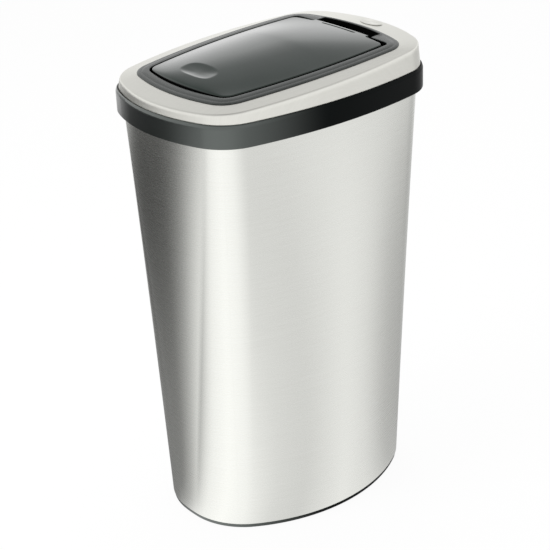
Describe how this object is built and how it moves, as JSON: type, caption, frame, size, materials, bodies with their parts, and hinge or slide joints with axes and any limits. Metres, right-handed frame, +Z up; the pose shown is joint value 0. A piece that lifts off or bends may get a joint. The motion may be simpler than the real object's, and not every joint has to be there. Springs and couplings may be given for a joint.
{
  "type": "press-top waste bin",
  "caption": "Press-top waste bin: tapered brushed-steel body with a black collar and a lift-off head whose domed dark lid is pressed to release and swings up on a rear hinge.",
  "frame": {"origin": "on the floor, at the middle of the bounding box in plan", "axes": "+Z up, front (finger press end) towards -Y, long axis along Y, width along X"},
  "size_m": [0.2938, 0.41, 0.6659],
  "materials": {
    "brushed_steel": "satin brushed sheet",
    "spring_steel": "bright drawn wire and zinc screws",
    "black_plastic": "satin moulded",
    "grey_plastic": "fine satin moulded",
    "lid_plastic": "gloss moulded",
    "rubber": "matte moulded"
  },
  "bodies": {
    "bin": {"body_sleeve": "brushed_steel", "foot_ring": "black_plastic", "floor_pan": "black_plastic", "collar_band": "black_plastic"},
    "head": {"head_trim": "brushed_steel", "head_frame": "black_plastic", "lid_bezel": "grey_plastic", "rear_disc": "brushed_steel", "hinge_pin": "spring_steel", "lid_spring_left": "spring_steel", "lid_spring_right": "spring_steel", "latch_housing": "black_plastic", "latch_spring": "spring_steel", "lid_bumper_left": "rubber", "lid_bumper_right": "rubber", "bezel_screw_1": "spring_steel", "bezel_screw_2": "spring_steel", "bezel_screw_3": "spring_steel", "bezel_screw_4": "spring_steel", "bezel_screw_5": "spring_steel", "bezel_screw_6": "spring_steel", "bezel_screw_7": "spring_steel", "bezel_screw_8": "spring_steel", "latch_screw_1": "spring_steel", "latch_screw_2": "spring_steel"},
    "lid": {"lid_cover": "lid_plastic", "lid_liner": "black_plastic", "latch_striker": "black_plastic", "liner_screw_1": "spring_steel", "liner_screw_2": "spring_steel", "liner_screw_3": "spring_steel", "liner_screw_4": "spring_steel", "liner_screw_5": "spring_steel", "liner_screw_6": "spring_steel"},
    "plunger": {"latch_plunger": "grey_plastic"}
  },
  "joints": [
    {"name": "head_lift", "type": "slide", "parent": "bin", "child": "head", "axis": [0, 0, 1], "range_m": [0, 0.12]},
    {"name": "lid_hinge", "type": "hinge", "parent": "head", "child": "lid", "pos_m": [0, 0.126, 0.6505], "axis": [-1, 0, 0], "range_deg": [-0.6, 80]},
    {"name": "latch_push", "type": "slide", "parent": "head", "child": "plunger", "axis": [0, 0, 1], "range_m": [-0.003, 0], "stiffness_N_per_m": 350, "deforming": ["latch_spring"]}
  ]
}
